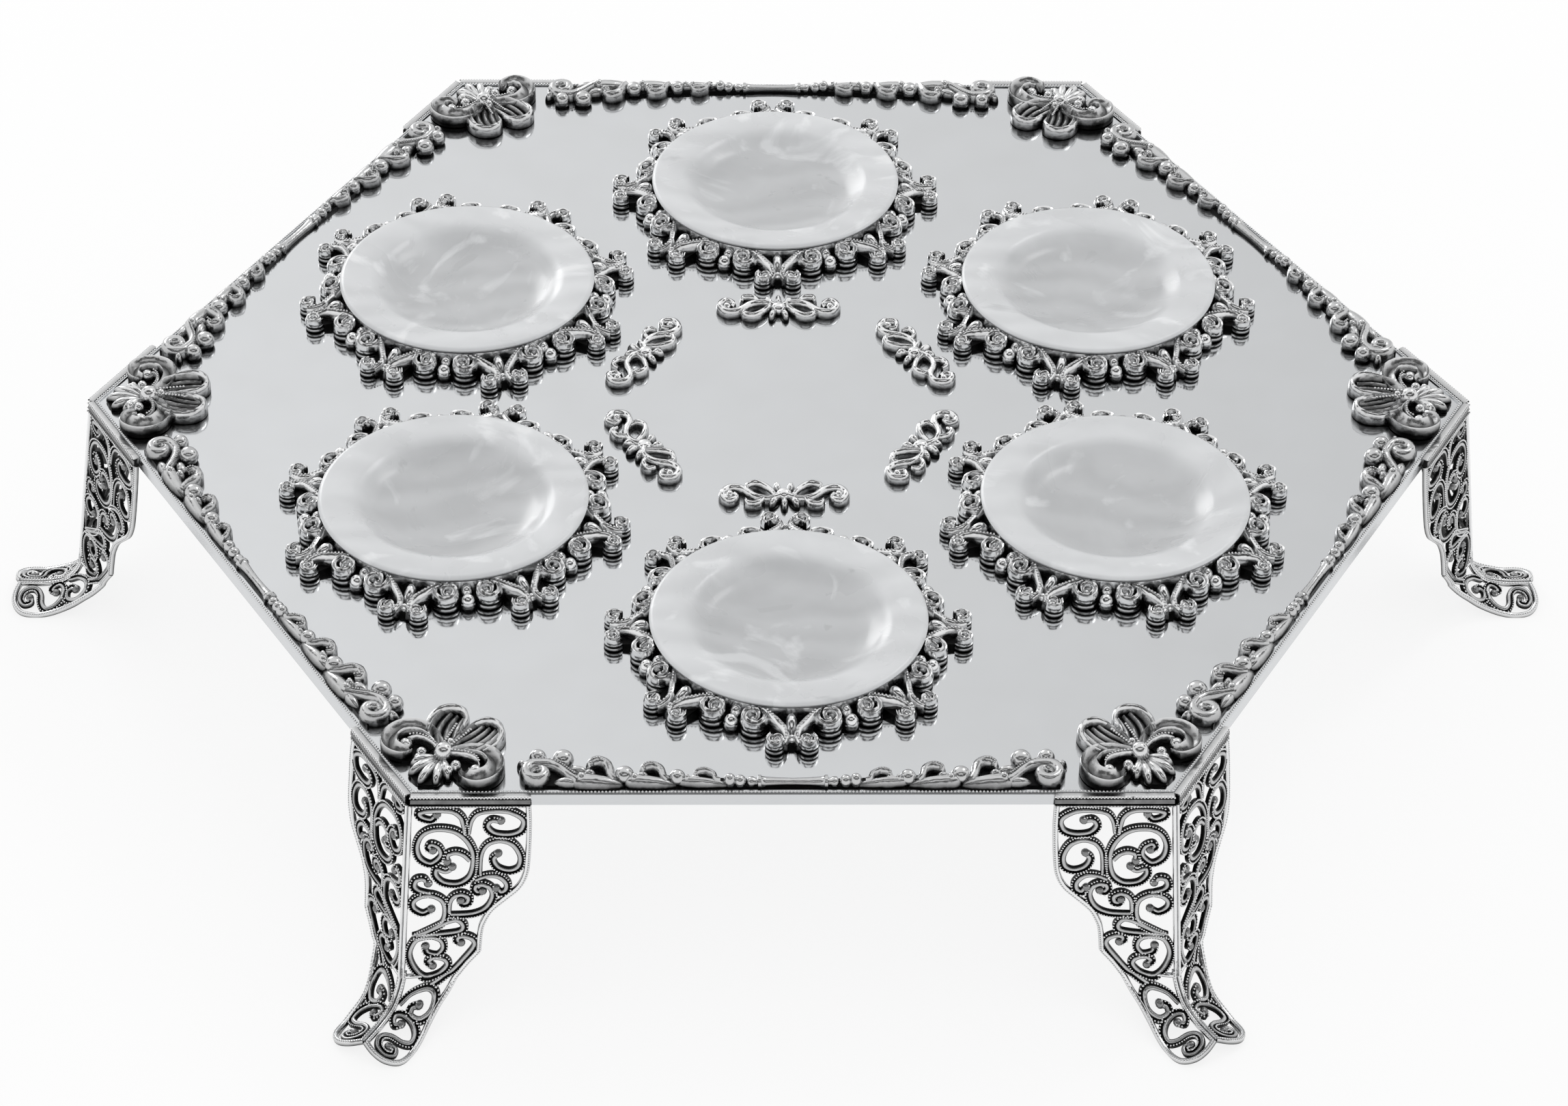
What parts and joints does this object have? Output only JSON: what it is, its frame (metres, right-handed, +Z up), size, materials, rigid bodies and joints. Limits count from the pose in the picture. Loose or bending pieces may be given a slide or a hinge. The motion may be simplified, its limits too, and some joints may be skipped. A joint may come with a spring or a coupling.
{
  "type": "seder plate",
  "caption": "Hexagonal footed serving plate with a mirror top, pierced filigree legs, cast scroll rings and shallow lift-out stone dishes for ceremonial foods.",
  "frame": {"origin": "on the table, under the middle of the tray", "axes": "+Z up, +X through corner 1 of the hexagon, +Y square to a pair of edges"},
  "size_m": [0.4822, 0.425, 0.0832],
  "materials": {
    "mirror_plate": "mirror-polished silver plate",
    "silver": "polished silver with darkened recesses",
    "onyx": "polished white onyx with faint clouding"
  },
  "bodies": {
    "stand": {"top_plate": "mirror_plate", "rim_strip_1": "silver", "leg_1_left_panel": "silver", "leg_1_right_panel": "silver", "leg_1_corner_post": "silver", "corner_ornament_1": "silver", "border_strip_1": "silver", "scroll_ring_1": "silver", "flourish_1": "silver", "rim_strip_2": "silver", "leg_2_left_panel": "silver", "leg_2_right_panel": "silver", "leg_2_corner_post": "silver", "corner_ornament_2": "silver", "border_strip_2": "silver", "scroll_ring_2": "silver", "flourish_2": "silver", "rim_strip_3": "silver", "leg_3_left_panel": "silver", "leg_3_right_panel": "silver", "leg_3_corner_post": "silver", "corner_ornament_3": "silver", "border_strip_3": "silver", "scroll_ring_3": "silver", "flourish_3": "silver", "rim_strip_4": "silver", "leg_4_left_panel": "silver", "leg_4_right_panel": "silver", "leg_4_corner_post": "silver", "corner_ornament_4": "silver", "border_strip_4": "silver", "scroll_ring_4": "silver", "flourish_4": "silver", "rim_strip_5": "silver", "leg_5_left_panel": "silver", "leg_5_right_panel": "silver", "leg_5_corner_post": "silver", "corner_ornament_5": "silver", "border_strip_5": "silver", "scroll_ring_5": "silver", "flourish_5": "silver", "rim_strip_6": "silver", "leg_6_left_panel": "silver", "leg_6_right_panel": "silver", "leg_6_corner_post": "silver", "corner_ornament_6": "silver", "border_strip_6": "silver", "scroll_ring_6": "silver", "flourish_6": "silver"},
    "dish_1": {"dish_1": "onyx"},
    "dish_2": {"dish_2": "onyx"},
    "dish_3": {"dish_3": "onyx"},
    "dish_4": {"dish_4": "onyx"},
    "dish_5": {"dish_5": "onyx"},
    "dish_6": {"dish_6": "onyx"}
  },
  "joints": [
    {"name": "dish_1_lift", "type": "slide", "parent": "stand", "child": "dish_1", "axis": [0, 0, 1], "range_m": [0, 0.06]},
    {"name": "dish_2_lift", "type": "slide", "parent": "stand", "child": "dish_2", "axis": [0, 0, 1], "range_m": [0, 0.06]},
    {"name": "dish_3_lift", "type": "slide", "parent": "stand", "child": "dish_3", "axis": [0, 0, 1], "range_m": [0, 0.06]},
    {"name": "dish_4_lift", "type": "slide", "parent": "stand", "child": "dish_4", "axis": [0, 0, 1], "range_m": [0, 0.06]},
    {"name": "dish_5_lift", "type": "slide", "parent": "stand", "child": "dish_5", "axis": [0, 0, 1], "range_m": [0, 0.06]},
    {"name": "dish_6_lift", "type": "slide", "parent": "stand", "child": "dish_6", "axis": [0, 0, 1], "range_m": [0, 0.06]}
  ]
}
